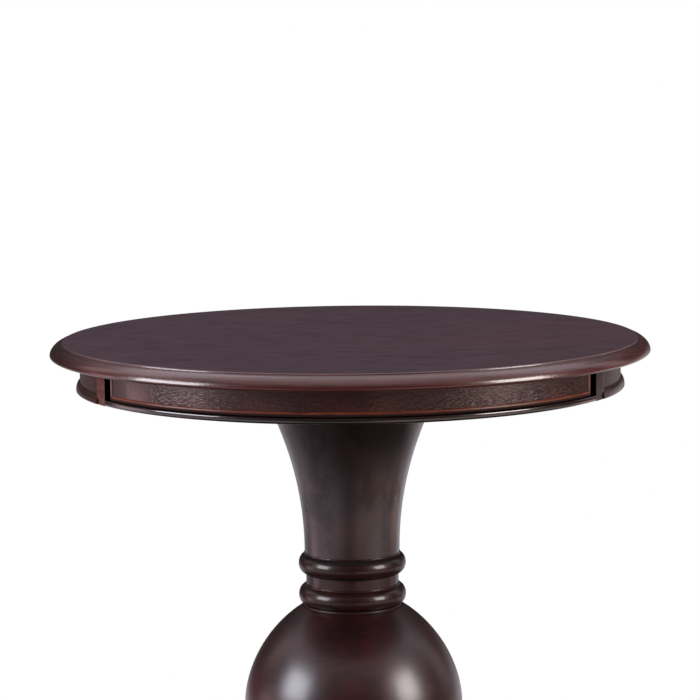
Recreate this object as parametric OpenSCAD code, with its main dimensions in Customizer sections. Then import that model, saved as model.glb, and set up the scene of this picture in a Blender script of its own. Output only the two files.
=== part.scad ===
// Round pedestal end table with a bow-front drawer hidden in its apron.
// Millimetres, +Z up, origin on the floor under the centre of the top, drawer towards -Y.

/* [Top] */
// Height from the floor to the flat of the top
table_h = 635; // [600:5:680]
// Diameter over the edge moulding
top_d = 610; // [590:5:640]
// Thickness of the top
top_t = 16; // [15:0.5:20]
// Width of the edge moulding, from the flat of the top outwards
moulding_w = 12.4; // [10:0.2:16]
// Depth of the small step between the flat and the round of the moulding
quirk_h = 1.3; // [0.6:0.1:2]
// Height of the widest line of the moulding above its underside
lip_h = 3.3; // [2:0.1:5]
// Power of the moulding's round, 2 being a true ellipse
moulding_power = 1.75; // [1.5:0.05:2.2]
// Depth of the tongue that the moulding pushes into the panel
tongue_w = 6; // [4:0.5:8]
// Thickness of that tongue
tongue_t = 5; // [3:0.5:6]

/* [Apron] */
// How far the plain face of the apron stands in from the widest line of the moulding
apron_inset = 30; // [20:0.5:45]
// Thickness of the bent apron shell
apron_t = 16; // [14:0.5:18]
// Height of the apron
apron_h = 33.5; // [32:0.5:40]
// Height of the bead along the bottom of the apron
bead_h = 9.5; // [6:0.5:12]
// How far that bead stands out from the apron
bead_w = 4; // [2:0.5:6]
// Radius of the turn at the foot of that bead
bead_turn = 1.2; // [0.6:0.1:1.8]
// Thickness of the board that closes the case
board_t = 9; // [8:0.5:10]
// How far each side of the drawer's opening stands in from the side of the apron
opening_inset = 36.6; // [30:0.2:60]
// Width of each stile beside the opening
stile_w = 9; // [6:0.5:12]
// How far the stiles stand out from the apron
stile_proud = 2.5; // [1:0.5:4]
// Thickness of the rail under the drawer
rail_t = 5.3; // [4:0.1:6]
// How far the rail stands out from the apron
rail_proud = 3.2; // [2:0.2:5]
// Radius of the rail's eased edges
rail_ease = 1; // [0.4:0.1:1.8]

/* [Drawer] */
// Thickness of the curved drawer front
front_t = 18; // [16:0.5:20]
// Gap at each end of the drawer front
front_gap = 6.4; // [3:0.2:8]
// Gap over the drawer front
gap_over = 2; // [1.5:0.1:3]
// Gap under the drawer front
gap_under = 1.2; // [0.8:0.1:2]
// Width of the cock bead on the drawer's face
cock_w = 5; // [3:0.5:7]
// Depth of the cock bead into the drawer front
cock_depth = 12; // [8:0.5:14]
// How far the round of the cock bead stands out
cock_proud = 1.5; // [0.8:0.1:2.5]
// How far each of the drawer's sides stands in from the side of the opening
box_inset = 14.4; // [14.2:0.2:30]
// Thickness of the drawer's sides and back
side_t = 10; // [8:0.5:12]
// Distance from the table's axis to the back of the drawer
back_y = 100; // [80:2:110]
// Thickness of the drawer's bottom
bottom_t = 4; // [3:0.5:5]
// Height of the drawer's bottom above the lower edge of its sides
bottom_up = 1; // [1:0.5:3]
// Depth of the groove that holds the bottom
groove_w = 4; // [3:0.5:5]
// How far the drawer slides out
travel = 170; // [120:5:180]

/* [Case fittings] */
// Width of the strips that guide the drawer's sides
guide_w = 12; // [8:0.5:12]
// Height of those strips
guide_h = 18; // [12:1:20]
// Size of a glue block along the apron
block_w = 30; // [24:1:36]
// Size of a glue block towards the table's axis
block_depth = 20; // [16:0.5:21]
// Length of the button that stops the drawer
button_l = 44; // [36:2:56]
// Width of that button
button_w = 14; // [12:1:18]
// Thickness of that button
button_t = 5; // [4:0.5:6]
// Width of each stop behind the drawer
stop_w = 30; // [20:2:40]
// Thickness of each stop behind the drawer
stop_t = 14; // [10:1:18]
// Height of each stop behind the drawer
stop_h = 12; // [8:1:16]
// Distance of the stops behind the drawer from the middle
stop_x = 120; // [80:5:150]

/* [Column] */
// Diameter of the plate that holds the column to the case
plate_d = 260; // [240:5:280]
// Thickness of that plate
plate_t = 18; // [16:1:22]
// Diameter of the neck where it meets the plate
neck_top_d = 169.8; // [150:0.2:180]
// Length of the flared neck
neck_h = 155; // [140:1:170]
// Diameter of the neck at its foot
neck_foot_d = 97.8; // [90:0.2:104]
// Power of the curves of the neck and of the bell
flare_power = 2.08; // [1.6:0.02:2.6]
// Diameter over each of the two rings
ring_d = 110.4; // [104:0.2:120]
// Height of each ring
ring_h = 20; // [16:0.5:22]
// Height of the plain stretch between the rings
ring_gap = 12.5; // [8:0.5:16]
// Diameter of that plain stretch
waist_d = 95.2; // [90:0.2:100]
// Height of the fillet over the upper ring
fillet_h = 1.6; // [1:0.1:3]
// How far that fillet stands out from the foot of the neck
fillet_proud = 0.7; // [0.3:0.1:2]

/* [Urn] */
// Largest diameter of the urn
urn_d = 225; // [200:1:240]
// Half the height that the urn would have if its curve closed at the axis
urn_rise = 118.3; // [110:0.1:130]
// Power of the urn's curve, 2 being a true ellipse
urn_power = 1.83; // [1.7:0.01:2]
// Diameter of the urn where it meets the ring above and the ring below
urn_end_d = 97; // [90:0.5:110]

/* [Base] */
// Height of the ring under the urn
foot_ring_h = 20; // [16:0.5:26]
// Diameter over that ring
foot_ring_d = 122; // [112:0.5:136]
// Diameter of the bell at its top
bell_top_d = 104; // [98:0.5:112]
// Diameter of the round plinth
plinth_d = 390; // [360:2:420]
// Height of the plinth
plinth_h = 42; // [36:1:50]
// How far the foot of the bell stands in from the edge of the plinth
bell_inset = 45; // [36:1:60]
// Height of the step on top of the plinth
step_h = 6; // [4:0.5:8]
// How far that step stands out from the foot of the bell
step_w = 8; // [4:0.5:12]
// Radius of the plinth's round upper edge
nose_r = 20; // [12:1:22]
// Radius of the plinth's eased lower edge
plinth_ease = 3; // [1:0.5:5]
// Diameter of each glide under the plinth
glide_d = 32; // [26:1:40]
// Thickness of each glide
glide_t = 8; // [6:0.5:10]
// How far the middle of each glide stands in from the edge of the plinth
glide_inset = 35; // [28:1:60]

/* [Fixings] */
// Diameter of the rod that ties the column together
rod_d = 10; // [8:0.5:12]
// Diameter of the washers on the rod
washer_d = 30; // [24:1:32]
// Thickness of the washers
washer_t = 2.5; // [2:0.5:3]
// Width of the nuts across their corners
nut_d = 19.6; // [16:0.2:22]
// Thickness of the nuts
nut_t = 8; // [6:0.5:9]
// How far the rod stands out past each nut
rod_past = 1; // [0.5:0.5:3]
// Diameter of the turned tenons between the pieces of the column
tenon_d = 40; // [32:1:46]
// Length of those tenons
tenon_h = 14; // [10:1:16]
// Diameter of a screw's shank
shank_d = 4.5; // [3.5:0.1:5]
// Diameter of a screw's head
head_d = 9; // [8:0.1:10]
// Height of that head
head_h = 2.7; // [2:0.1:3.5]
// Length of a screw's point
tip_h = 4; // [3:0.5:6]
// How deep the case screws go into the top
bite = 10; // [8:0.5:11]
// How deep the guides' screws go into the guides
guide_bite = 7; // [5:0.5:10]
// How far the plate's screws end short of the upper face of the case's board
plate_short = 3; // [2:0.5:4]
// How deep the screws of the plinth go into the bell, as a share of its height
bell_bite = 0.22; // [0.15:0.01:0.3]
// Depth of the pockets for those screws
screw_pocket = 12; // [8:1:20]
// How deep the glides' screws go into the plinth
glide_bite = 12; // [8:1:20]
// Diameter of the pins in the drawer's back
pin_d = 2; // [1.5:0.1:2.5]
// How deep those pins go into the back
pin_bite = 18; // [12:1:24]
// Distance between the two pins at one end of the back
pin_gap = 10; // [8:0.5:12]

/* [Hidden] */
$fn = 240;

// Fits
slide_gap = 0.3; // drawer over the board, and against its stops
side_gap = 1; // drawer's sides against the guides
fit = 0.2; // tongues, tenons and bores
board_gap = 2; // drawer front before the board's edge
shell_gap = 2; // guides short of the shell
rod_gap = 0.5; // rod in the bore of the column, and short of the board over it
washer_gap = 1; // washers in their pockets
over = 1; // how far a cut runs past a face

// Heights from the floor
under_z = table_h - top_t;
case_z = under_z - apron_h;
board_z = case_z + board_t;
rail_z = case_z + rail_t;
front_z = rail_z + gap_under;
front_top = under_z - gap_over;
box_z = board_z + slide_gap;
bottom_z = box_z + bottom_up;
plate_z = case_z - plate_t;
neck_z = plate_z - neck_h;
collar_h = fillet_h + 2 * ring_h + ring_gap;
collar_z = neck_z - collar_h;
urn_r = urn_d / 2;
urn_half = urn_rise * pow(1 - pow(urn_end_d / urn_d, urn_power), 1 / urn_power);
urn_z = collar_z - 2 * urn_half;
foot_ring_z = urn_z - foot_ring_h;
plinth_z = glide_t;
plinth_top = plinth_z + plinth_h;
bell_h = foot_ring_z - plinth_top;

// Radii and widths
top_r = top_d / 2;
flat_r = top_r - moulding_w;
apron_r = top_r - apron_inset;
shell_r = apron_r - apron_t;
front_r = apron_r - front_t;
stile_x = apron_r - opening_inset;
shell_x = stile_x + stile_w;
front_x = stile_x - front_gap;
end_w = cock_w * sqrt(1 - pow(front_x / apron_r, 2)); // cock bead's width along X at the ends
box_x = stile_x - box_inset;
side_x = box_x - side_t;
guide_x = box_x + side_gap;
guide_y = sqrt(pow(shell_r, 2) - pow(guide_x + guide_w, 2)) - shell_gap;
block_r = shell_r - block_depth / 2;
block_angles = [0, 38, 64, 90, 116, 142, 180];
plinth_r = plinth_d / 2;
bell_foot_r = plinth_r - bell_inset;
glide_r = plinth_r - glide_inset;
glide_head_z = glide_t / 3;
button_y = back_y - side_t - travel - slide_gap - button_w / 2;
plate_screw_r = (plate_d + neck_top_d) / 4;
bell_screw_r = (tenon_d / 2 + bell_foot_r) / 2;

// Lengths of the fixings
nut_pocket = washer_t + nut_t + rod_past + rod_gap;
case_screw_l = board_t + under_z - board_z + bite;
guide_screw_l = board_t + guide_bite;
plate_screw_l = plate_t + board_t - plate_short;
bell_screw_l = plinth_h - screw_pocket + bell_bite * bell_h;
glide_screw_l = glide_t - glide_head_z + glide_bite;
pin_l = side_t + pin_bite;

// Finishes
espresso = [0.19, 0.11, 0.12];
top_brown = [0.27, 0.20, 0.22];
red_brown = [0.36, 0.20, 0.18];
raw_wood = [0.72, 0.58, 0.42];
ply = [0.78, 0.66, 0.48];
steel = [0.66, 0.67, 0.69];
dark_plastic = [0.12, 0.12, 0.13];

// Points of a rounded corner from (r, z) outwards by w and upwards by h, following a power
function corner(r, z, w, h, power, from, to) =
    [for (i = [0:12]) let (a = from + (to - from) * i / 12)
        [r + w * pow(abs(cos(a)), 2 / power) * sign(cos(a)),
         z + h * pow(abs(sin(a)), 2 / power) * sign(sin(a))]];

// Points of a flare from radius r0 at height z0 to radius r1 at height z1
function flare(r0, z0, r1, z1) =
    [for (i = [0:16]) let (u = i / 16) [r0 + (r1 - r0) * pow(u, flare_power), z0 + (z1 - z0) * u]];

// Turns an outline of [radius, height] points about the table's axis
module turned(points) {
    rotate_extrude()
        polygon(points);
}

// Everything in front of the axis between two planes x = -half and x = half
module front_slot(half) {
    translate([-half, -top_r, 0])
        cube([2 * half, top_r, table_h + over]);
}

// Part of a turned piece that lies between the ends of the drawer front or the opening
module front_part(half) {
    intersection() {
        children();
        front_slot(half);
    }
}

// Wood screw standing on its head, with a cross recess
module screw(length) {
    difference() {
        turned([[0, 0], [head_d / 2, 0], [shank_d / 2, head_h], [shank_d / 2, length - tip_h],
            [0.5, length], [0, length]]);
        for (a = [0, 90])
            rotate(a)
                cube([head_d / 2, head_d / 9, 1.1 * head_h], center = true);
    }
}

// Hole that such a screw sits in, open below by the depth of its pocket
module screw_hole(length, depth = 0) {
    r = head_d / 2 + fit;
    turned([[0, -depth - over], [r, -depth - over], [r, 0], [shank_d / 2 + fit, head_h],
        [shank_d / 2 + fit, length], [0, length + fit]]);
}

// Places of the screws
module at_blocks() {
    for (a = block_angles)
        rotate(a)
            translate([block_r, 0, case_z])
                children();
}

module at_guides() {
    for (side = [-1, 1], i = [-1:1])
        translate([side * (guide_x + guide_w / 2), i * 0.7 * guide_y, case_z])
            children();
}

module at_plate() {
    for (i = [0:5])
        rotate(30 + 60 * i)
            translate([plate_screw_r, 0, plate_z])
                children();
}

module at_bell() {
    for (i = [0:3])
        rotate(90 * i)
            translate([bell_screw_r, 0, plinth_z + screw_pocket])
                children();
}

module at_glide(i, z = 0) {
    rotate(45 + 90 * (i - 1))
        translate([glide_r, 0, z])
            children();
}

module at_pins() {
    middle = (bottom_z + bottom_t + front_top) / 2;
    for (side = [-1, 1], z = [middle - pin_gap / 2, middle + pin_gap / 2])
        translate([side * box_x, back_y - side_t / 2, z])
            rotate([0, -90 * side, 0])
                children();
}

module at_button() {
    translate([0, button_y, under_z - button_t])
        children();
}

// Round disc of the top, grooved round its edge for the moulding
module top_panel() {
    color(top_brown)
        difference() {
            translate([0, 0, under_z])
                cylinder(r = flat_r, h = top_t);
            turned([[flat_r - tongue_w - fit, under_z + (top_t - tongue_t) / 2],
                [flat_r + over, under_z + (top_t - tongue_t) / 2],
                [flat_r + over, under_z + (top_t + tongue_t) / 2],
                [flat_r - tongue_w - fit, under_z + (top_t + tongue_t) / 2]]);
            at_blocks()
                screw_hole(case_screw_l);
            at_button()
                screw_hole(button_t + bite);
        }
}

// Edge moulding: quirk, broad round, and a lip that turns under
module edge_moulding() {
    lip_z = under_z + lip_h;
    tongue_low = under_z + (top_t - tongue_t) / 2;
    round_up = corner(flat_r, lip_z, moulding_w, table_h - quirk_h - lip_z, moulding_power, 0, 90);
    turn_under = corner(top_r - lip_h, lip_z, lip_h, lip_h, 2, -90, 0);
    color(espresso)
        turned(concat(
            [[flat_r, under_z]],
            turn_under,
            [for (i = [1:12]) round_up[i]],
            [[flat_r, tongue_low + tongue_t], [flat_r - tongue_w, tongue_low + tongue_t],
                [flat_r - tongue_w, tongue_low], [flat_r, tongue_low]]));
}

// Bent shell of the apron, open where the drawer and its stiles stand
module apron_shell() {
    color(espresso)
        difference() {
            translate([0, 0, case_z])
                cylinder(r = apron_r, h = apron_h);
            translate([0, 0, case_z - over])
                cylinder(r = shell_r, h = apron_h + 2 * over);
            front_slot(shell_x);
        }
}

// Bead round the bottom of the apron, from stile to stile
module apron_bead() {
    foot = corner(apron_r + bead_w - bead_turn, case_z + bead_turn, bead_turn, bead_turn, 2, -90, 0);
    round_up = corner(apron_r, case_z + bead_turn, bead_w, bead_h - bead_turn, 2, 0, 90);
    color(red_brown)
        difference() {
            turned(concat([[apron_r, case_z]], foot, [for (i = [1:12]) round_up[i]]));
            front_slot(shell_x);
        }
}

// Stile beside the drawer opening, on the side given by its sign
module stile(side) {
    color(red_brown)
        intersection() {
            difference() {
                translate([0, 0, case_z])
                    cylinder(r = apron_r + stile_proud, h = apron_h);
                translate([0, 0, case_z - over])
                    cylinder(r = shell_r, h = apron_h + 2 * over);
            }
            translate([side > 0 ? stile_x : -shell_x, -top_r, case_z])
                cube([stile_w, top_r, apron_h]);
        }
}

// Curved rail under the drawer, with eased edges
module drawer_rail() {
    outer = apron_r + rail_proud - rail_ease;
    inner = front_r - board_gap;
    color(espresso)
        front_part(stile_x)
            turned(concat(
                [[inner, case_z]],
                corner(outer, case_z + rail_ease, rail_ease, rail_ease, 2, -90, 0),
                corner(outer, rail_z - rail_ease, rail_ease, rail_ease, 2, 0, 90),
                [[inner, rail_z]]));
}

// Board that closes the case, carries the drawer and is screwed to the column's plate
module case_bottom() {
    color(ply)
        difference() {
            translate([0, 0, case_z])
                cylinder(r = shell_r, h = board_t);
            front_part(stile_x)
                turned([[front_r - board_gap, case_z - over], [top_r, case_z - over],
                    [top_r, board_z + over], [front_r - board_gap, board_z + over]]);
            at_blocks()
                screw_hole(case_screw_l);
            at_guides()
                screw_hole(guide_screw_l);
            at_plate()
                screw_hole(plate_screw_l);
        }
}

// Glue block in the corner between the shell and the top
module glue_block(i) {
    color(raw_wood)
        difference() {
            intersection() {
                rotate(block_angles[i - 1])
                    translate([shell_r - block_depth, -block_w / 2, board_z])
                        cube([block_depth, block_w, under_z - board_z]);
                translate([0, 0, board_z])
                    cylinder(r = shell_r, h = under_z - board_z);
            }
            at_blocks()
                screw_hole(case_screw_l);
        }
}

// Long screws through the board and the blocks into the top
module case_screws() {
    color(steel)
        at_blocks()
            screw(case_screw_l);
}

// Strip beside the drawer that keeps it straight
module guide(side) {
    color(raw_wood)
        difference() {
            translate([side > 0 ? guide_x : -guide_x - guide_w, -guide_y, board_z])
                cube([guide_w, 2 * guide_y, guide_h]);
            at_guides()
                screw_hole(guide_screw_l);
        }
}

module guide_screws() {
    color(steel)
        at_guides()
            screw(guide_screw_l);
}

// Button under the top that the drawer's back meets when it is fully out
module stop_button() {
    color(raw_wood)
        difference() {
            at_button() {
                translate([-(button_l - button_w) / 2, -button_w / 2, 0])
                    cube([button_l - button_w, button_w, button_t]);
                for (side = [-1, 1])
                    translate([side * (button_l - button_w) / 2, 0, 0])
                        cylinder(d = button_w, h = button_t);
            }
            at_button()
                screw_hole(button_t + bite);
        }
}

module button_screw() {
    color(steel)
        at_button()
            screw(button_t + bite);
}

// Block behind the drawer that leaves its front flush with the apron
module rear_stop(side) {
    color(raw_wood)
        translate([side * stop_x - stop_w / 2, back_y + slide_gap, board_z])
            cube([stop_w, stop_t, stop_h]);
}

// Curved drawer front, rebated for its cock bead and grooved for the bottom
module drawer_front() {
    cock_r = apron_r - cock_depth;
    color(espresso)
        difference() {
            front_part(front_x)
                turned([[front_r, front_z], [apron_r, front_z], [apron_r, front_top],
                    [front_r, front_top]]);
            turned([[cock_r, front_z - over], [apron_r + over, front_z - over],
                [apron_r + over, front_z + cock_w], [cock_r, front_z + cock_w]]);
            for (side = [-1, 1])
                end_strip(side, cock_r, apron_r + over, front_z, front_top + over);
            turned([[front_r - over, bottom_z], [front_r + groove_w, bottom_z],
                [front_r + groove_w, bottom_z + bottom_t], [front_r - over, bottom_z + bottom_t]]);
        }
}

// Upright strip at one end of the drawer front, between two radii
module end_strip(side, inner, outer, low, high) {
    intersection() {
        turned([[inner, low], [outer, low], [outer, high], [inner, high]]);
        translate([side > 0 ? front_x - end_w : -front_x - over, -top_r, low])
            cube([end_w + over, top_r, high - low]);
    }
}

// Cock bead along the bottom of the drawer front
module cock_bead_bottom() {
    color(red_brown)
        front_part(front_x)
            turned(concat(
                [[apron_r - cock_depth, front_z]],
                corner(apron_r, front_z + cock_w / 2, cock_proud, cock_w / 2, 2, -90, 90),
                [[apron_r - cock_depth, front_z + cock_w]]));
}

// Cock bead at one end of the drawer front
module cock_bead_end(side) {
    low = front_z + cock_w;
    round_r = (pow(cock_proud, 2) + pow(cock_w / 2, 2)) / (2 * cock_proud);
    color(red_brown)
        intersection() {
            union() {
                turned([[apron_r - cock_depth, low], [apron_r, low], [apron_r, front_top],
                    [apron_r - cock_depth, front_top]]);
                rotate(side * asin((front_x - end_w / 2) / apron_r))
                    translate([0, round_r - apron_r - cock_proud, low])
                        cylinder(r = round_r, h = front_top - low);
            }
            translate([side > 0 ? front_x - end_w : -front_x, -top_r, low])
                cube([end_w, top_r, front_top - low]);
        }
}

// Side of the drawer, coped to the curved front and grooved for the bottom
module drawer_side(side) {
    color(raw_wood)
        difference() {
            intersection() {
                translate([side > 0 ? side_x : -box_x, -top_r, box_z])
                    cube([side_t, top_r + back_y, front_top - box_z]);
                translate([0, 0, box_z])
                    cylinder(r = front_r, h = front_top - box_z);
            }
            translate([-side_x - groove_w, -top_r, bottom_z])
                cube([2 * (side_x + groove_w), top_r + back_y + over, bottom_t]);
            at_pins()
                cylinder(d = pin_d + fit, h = side_t + over);
        }
}

// Back of the drawer, standing on the bottom between the sides
module drawer_back() {
    color(raw_wood)
        difference() {
            translate([-side_x, back_y - side_t, bottom_z + bottom_t])
                cube([2 * side_x, side_t, front_top - bottom_z - bottom_t]);
            at_pins()
                cylinder(d = pin_d + fit, h = pin_l + fit);
        }
}

// Thin bottom of the drawer, in the grooves of the front and the sides
module drawer_bottom() {
    color(ply)
        intersection() {
            translate([0, 0, bottom_z])
                cylinder(r = front_r + groove_w - fit, h = bottom_t);
            translate([-side_x - groove_w + fit, -top_r, bottom_z])
                cube([2 * (side_x + groove_w - fit), top_r + back_y, bottom_t]);
        }
}

// Pins through the drawer's sides into its back
module back_pins() {
    color(steel)
        at_pins()
            cylinder(d = pin_d, h = pin_l);
}

// Plate between the case and the column, with a pocket for the upper nut
module mounting_plate() {
    color(espresso)
        difference() {
            translate([0, 0, plate_z])
                cylinder(d = plate_d, h = plate_t);
            rod_hole();
            translate([0, 0, case_z - nut_pocket])
                cylinder(d = washer_d + 2 * washer_gap, h = nut_pocket + over);
            at_plate()
                screw_hole(plate_screw_l);
        }
}

module plate_screws() {
    color(steel)
        at_plate()
            screw(plate_screw_l);
}

// Bore for the tie rod through every piece of the column
module rod_hole() {
    translate([0, 0, -over])
        cylinder(d = rod_d + 2 * rod_gap, h = table_h);
}

// Tenon that stands up from a piece whose top is at height z
module tenon(z) {
    translate([0, 0, z])
        cylinder(d = tenon_d, h = tenon_h);
}

// Socket for a tenon, in a piece whose foot is at height z
module socket(z) {
    translate([0, 0, z - over])
        cylinder(d = tenon_d + fit, h = tenon_h + fit + over);
}

// Flared neck of the column
module column_neck() {
    color(espresso)
        difference() {
            turned(concat(
                [[0, neck_z]],
                flare(neck_foot_d / 2, neck_z, neck_top_d / 2, plate_z),
                [[0, plate_z]]));
            socket(neck_z);
            rod_hole();
        }
}

// Collar with a fillet and two half-round rings
module ring_collar() {
    waist_r = waist_d / 2;
    fillet_r = neck_foot_d / 2 + fillet_proud;
    upper = neck_z - fillet_h - ring_h / 2;
    lower = collar_z + ring_h / 2;
    ring_w = ring_d / 2 - waist_r;
    color(espresso)
        difference() {
            union() {
                turned(concat(
                    [[0, collar_z]],
                    corner(waist_r, lower, ring_w, ring_h / 2, 2, -90, 90),
                    corner(waist_r, upper, ring_w, ring_h / 2, 2, -90, 90),
                    [[fillet_r, neck_z - fillet_h], [fillet_r, neck_z], [0, neck_z]]));
                tenon(neck_z);
            }
            socket(collar_z);
            rod_hole();
        }
}

// Large ball of the column
module urn() {
    middle = urn_z + urn_half;
    end_angle = atan(pow(urn_half / urn_rise, urn_power / 2) / pow(urn_end_d / urn_d, urn_power / 2));
    color(espresso)
        difference() {
            union() {
                turned(concat(
                    [[0, urn_z]],
                    urn_points(middle, end_angle),
                    [[0, collar_z]]));
                tenon(collar_z);
            }
            socket(urn_z);
            rod_hole();
        }
}

// Points up the side of the urn, between its two flat ends
function urn_points(middle, limit) =
    [for (i = [-16:16]) let (a = limit * i / 16)
        [urn_r * pow(cos(a), 2 / urn_power),
         middle + urn_rise * pow(abs(sin(a)), 2 / urn_power) * sign(i)]];

// Half-round ring between the urn and the bell
module foot_ring() {
    inner = bell_top_d / 2;
    color(espresso)
        difference() {
            union() {
                turned(concat(
                    [[0, foot_ring_z]],
                    corner(inner, foot_ring_z + foot_ring_h / 2, foot_ring_d / 2 - inner,
                        foot_ring_h / 2, 2, -90, 90),
                    [[0, urn_z]]));
                tenon(urn_z);
            }
            socket(foot_ring_z);
            rod_hole();
        }
}

// Bell that spreads from the column to the plinth
module base_bell() {
    color(espresso)
        difference() {
            union() {
                turned(concat(
                    [[0, foot_ring_z]],
                    flare(bell_top_d / 2, foot_ring_z, bell_foot_r, plinth_top),
                    [[0, plinth_top]]));
                tenon(foot_ring_z);
            }
            at_bell()
                screw_hole(bell_screw_l, screw_pocket);
            rod_hole();
        }
}

// Round plinth with a stepped and rounded edge, and pockets on its underside
module base_plinth() {
    edge_z = plinth_top - step_h;
    step_r = bell_foot_r + step_w;
    color(espresso)
        difference() {
            turned(concat(
                [[0, plinth_z]],
                corner(plinth_r - plinth_ease, plinth_z + plinth_ease, plinth_ease, plinth_ease, 2, -90, 0),
                corner(plinth_r - nose_r, edge_z - nose_r, nose_r, nose_r, 2, 0, 90),
                [[step_r, edge_z], [step_r, plinth_top], [0, plinth_top]]));
            rod_hole();
            translate([0, 0, plinth_z - over])
                cylinder(d = washer_d + 2 * washer_gap, h = nut_pocket + over);
            at_bell()
                screw_hole(bell_screw_l, screw_pocket);
            for (i = [1:4])
                at_glide(i, glide_head_z)
                    screw_hole(glide_screw_l);
        }
}

module bell_screws() {
    color(steel)
        at_bell()
            screw(bell_screw_l);
}

// Rod, nuts and washers that pull the column together
module tie_rod() {
    low = plinth_z + nut_pocket - washer_t - nut_t - rod_past;
    high = case_z - nut_pocket + washer_t + nut_t + rod_past;
    color(steel)
        translate([0, 0, low])
            cylinder(d = rod_d, h = high - low);
}

module rod_nuts() {
    color(steel)
        for (z = [plinth_z + nut_pocket - washer_t - nut_t, case_z - nut_pocket + washer_t])
            translate([0, 0, z])
                difference() {
                    cylinder(d = nut_d, h = nut_t, $fn = 6);
                    translate([0, 0, -over])
                        cylinder(d = rod_d + fit, h = nut_t + 2 * over);
                }
}

module rod_washers() {
    color(steel)
        for (z = [plinth_z + nut_pocket - washer_t, case_z - nut_pocket])
            translate([0, 0, z])
                difference() {
                    cylinder(d = washer_d, h = washer_t);
                    translate([0, 0, -over])
                        cylinder(d = rod_d + 2 * fit, h = washer_t + 2 * over);
                }
}

// Glide that the table stands on
module glide(i) {
    color(dark_plastic)
        difference() {
            at_glide(i)
                cylinder(d = glide_d, h = glide_t);
            at_glide(i, glide_head_z)
                screw_hole(glide_screw_l, glide_head_z);
        }
}

module glide_screws() {
    color(steel)
        for (i = [1:4])
            at_glide(i, glide_head_z)
                screw(glide_screw_l);
}

top_panel();
edge_moulding();
apron_shell();
apron_bead();
stile(-1);  // stile_left
stile(1);  // stile_right
drawer_rail();
case_bottom();
for (i = [1:7])
    glue_block(i);
case_screws();
guide(-1);  // guide_left
guide(1);  // guide_right
guide_screws();
stop_button();
button_screw();
rear_stop(-1);  // stop_left
rear_stop(1);  // stop_right
drawer_front();
cock_bead_bottom();
cock_bead_end(-1);  // cock_bead_left
cock_bead_end(1);  // cock_bead_right
drawer_side(-1);  // drawer_side_left
drawer_side(1);  // drawer_side_right
drawer_back();
drawer_bottom();
back_pins();
mounting_plate();
plate_screws();
column_neck();
ring_collar();
urn();
foot_ring();
base_bell();
base_plinth();
bell_screws();
tie_rod();
rod_nuts();
rod_washers();
for (i = [1:4])
    glide(i);
glide_screws();
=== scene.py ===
from math import atan, cos, pi, radians, sin

import bmesh
import bpy
from mathutils import Matrix, Vector


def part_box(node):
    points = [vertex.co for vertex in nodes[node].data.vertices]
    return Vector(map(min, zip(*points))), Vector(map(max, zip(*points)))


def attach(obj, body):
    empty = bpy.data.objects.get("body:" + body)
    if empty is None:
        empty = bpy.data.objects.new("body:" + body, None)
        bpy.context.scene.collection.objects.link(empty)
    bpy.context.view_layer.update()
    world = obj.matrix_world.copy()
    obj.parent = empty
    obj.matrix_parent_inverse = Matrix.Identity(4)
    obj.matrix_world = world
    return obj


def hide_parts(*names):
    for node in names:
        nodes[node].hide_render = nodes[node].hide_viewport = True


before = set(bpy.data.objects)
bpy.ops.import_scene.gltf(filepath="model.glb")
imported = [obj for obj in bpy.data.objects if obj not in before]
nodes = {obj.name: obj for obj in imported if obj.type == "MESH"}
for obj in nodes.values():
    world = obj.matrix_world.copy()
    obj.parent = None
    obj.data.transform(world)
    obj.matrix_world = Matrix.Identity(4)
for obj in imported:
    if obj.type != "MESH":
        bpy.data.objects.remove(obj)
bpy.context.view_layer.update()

# Round pedestal end table with a drawer hidden in its apron. Metres, drawer towards -Y.
scene = bpy.context.scene
weld = 0.000001     # points nearer than this are made one
sharp = 28          # an edge sharper than this, in degrees, isn't shaded round
even = (1, 1, 1)    # the stretch of a noise that is the same every way


def note(text):
    print("[table]", text)


def low(node):
    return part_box(node)[0]


def high(node):
    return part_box(node)[1]


def tone(red, green, blue):
    # a screen colour, 0 to 255, as the linear colour that the shaders take
    return tuple((v / 255 / 12.92 if v < 11 else ((v / 255 + 0.055) / 1.055) ** 2.4)
                 for v in (red, green, blue)) + (1,)


# Node trees: sums on sockets are written as plain Python
class Feed:
    def __init__(self, graph, socket):
        self.graph = graph
        self.socket = socket

    def sum(self, operation, *values):
        return self.graph.add("ShaderNodeMath", {"operation": operation}, dict(enumerate(values)))

    def __add__(self, other):
        return self.sum("ADD", self, other)

    def __sub__(self, other):
        return self.sum("SUBTRACT", self, other)

    def __rsub__(self, other):
        return self.sum("SUBTRACT", other, self)

    def __mul__(self, other):
        return self.sum("MULTIPLY", self, other)

    def __truediv__(self, other):
        return self.sum("DIVIDE", self, other)

    def __rtruediv__(self, other):
        return self.sum("DIVIDE", other, self)

    def __pow__(self, other):
        return self.sum("POWER", self, other)

    __radd__ = __add__
    __rmul__ = __mul__

    def out(self, name):
        return Feed(self.graph, self.socket.node.outputs[name])

    def capped(self):
        return self.sum("MINIMUM", self, 1.0)


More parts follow.
